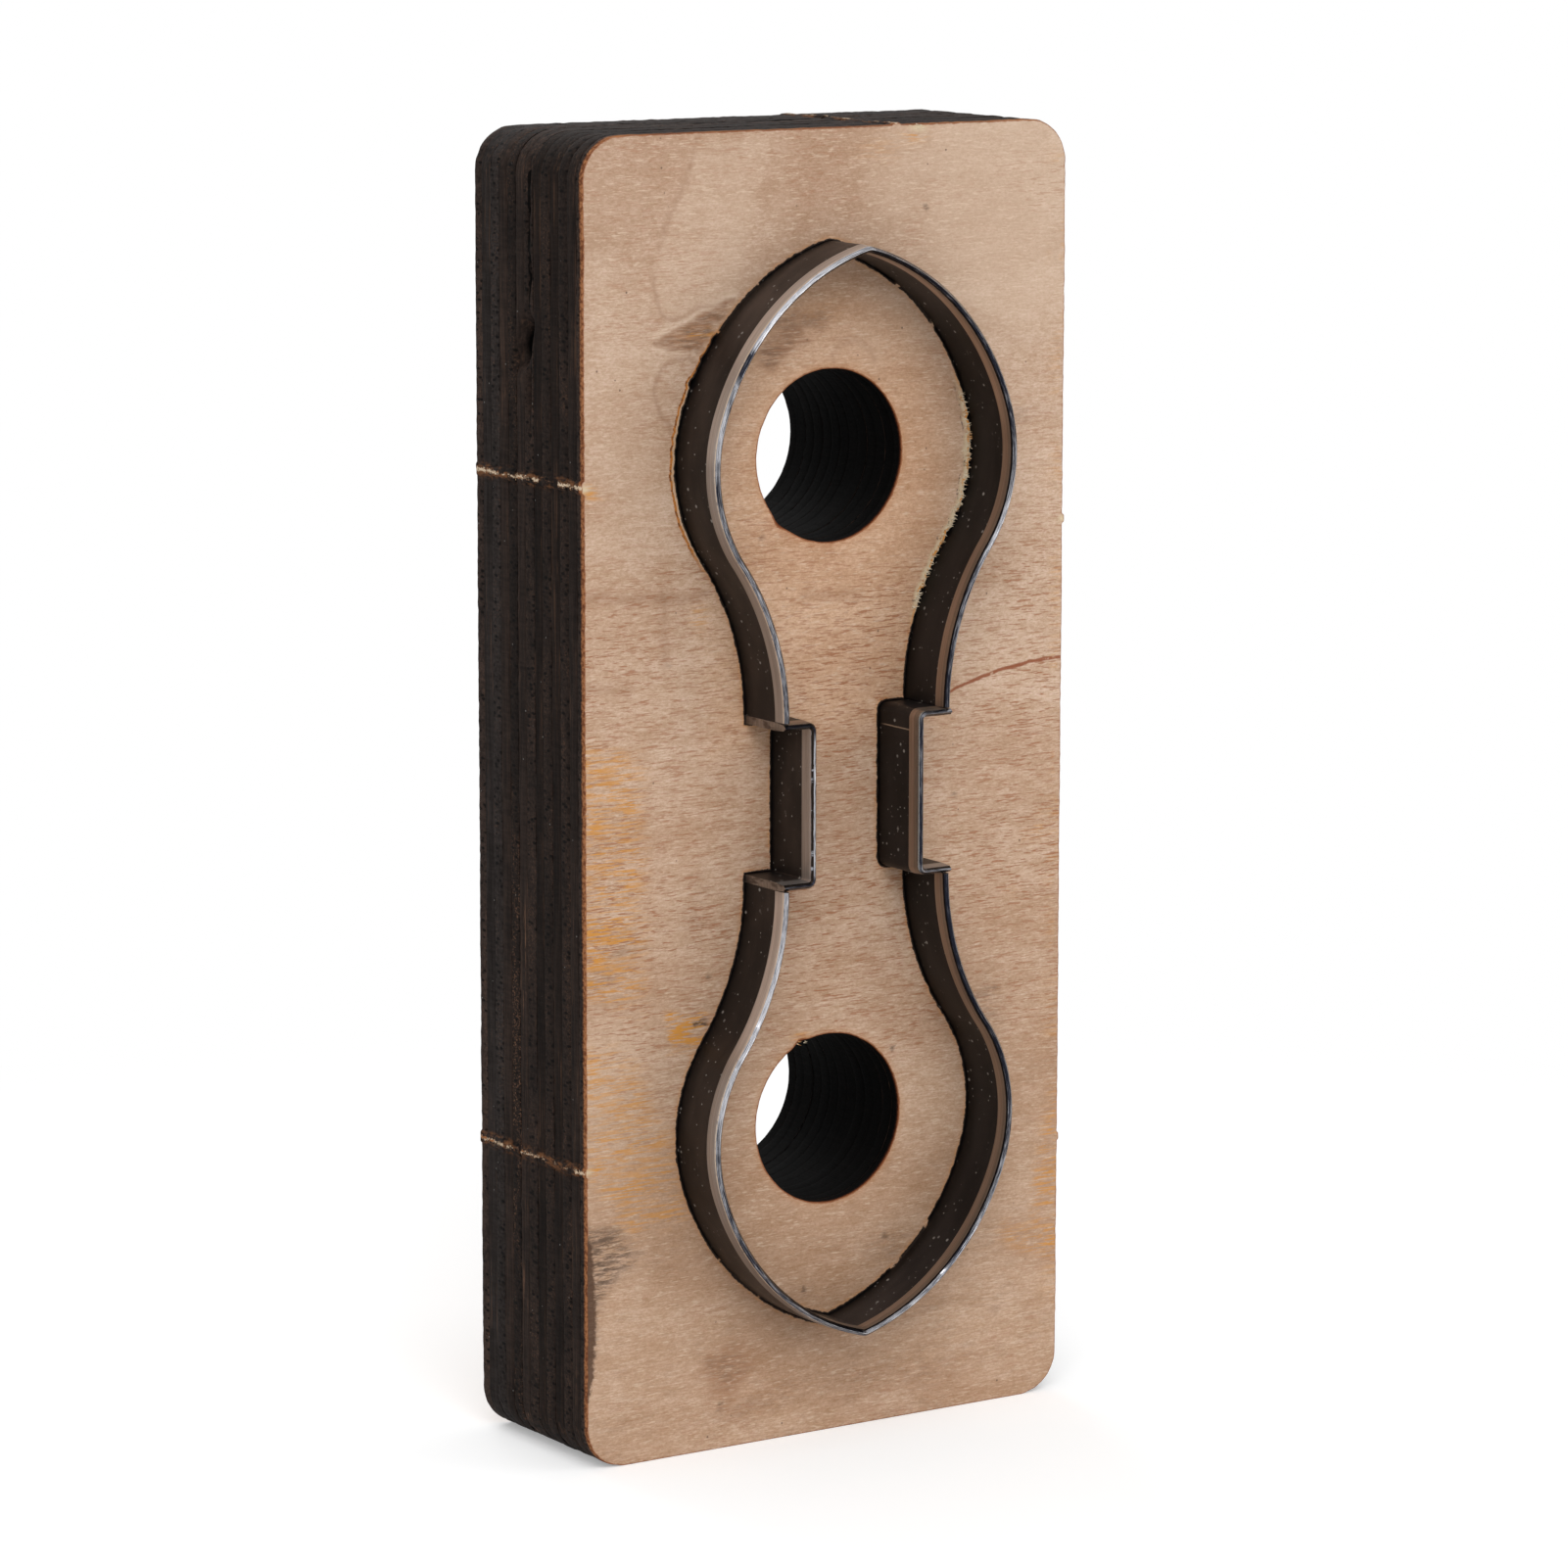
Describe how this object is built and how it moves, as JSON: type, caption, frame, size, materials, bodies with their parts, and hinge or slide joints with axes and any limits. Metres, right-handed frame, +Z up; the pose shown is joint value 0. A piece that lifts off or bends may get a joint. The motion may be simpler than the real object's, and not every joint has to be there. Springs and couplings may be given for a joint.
{
  "type": "leather cutting die",
  "caption": "Steel-rule cutting die for leather: bent steel blades in a dogbone outline, set in laser-cut kerfs of a birch plywood board with round ejection holes.",
  "frame": {"origin": "middle of the bottom, under the middle of the box: the die stands on its bottom edge", "axes": "+X across the board's width, to the right as one faces the blades; +Y from the cutting edge to the board's back; +Z up the board's length"},
  "size_m": [0.0506, 0.0238, 0.1152],
  "materials": {
    "face_birch": "sanded birch face veneer, laser-charred at its cut edges",
    "core_birch": "laser-charred birch core plies, grain alternating",
    "rule_steel": "blackened steel rule with a ground edge"
  },
  "bodies": {
    "root": {"front_veneer": "face_birch", "front_core": "core_birch", "back_core": "core_birch", "back_veneer": "face_birch", "upper_lobe_rule": "rule_steel", "lower_lobe_rule": "rule_steel", "left_notch_rule": "rule_steel", "right_notch_rule": "rule_steel"}
  },
  "joints": []
}
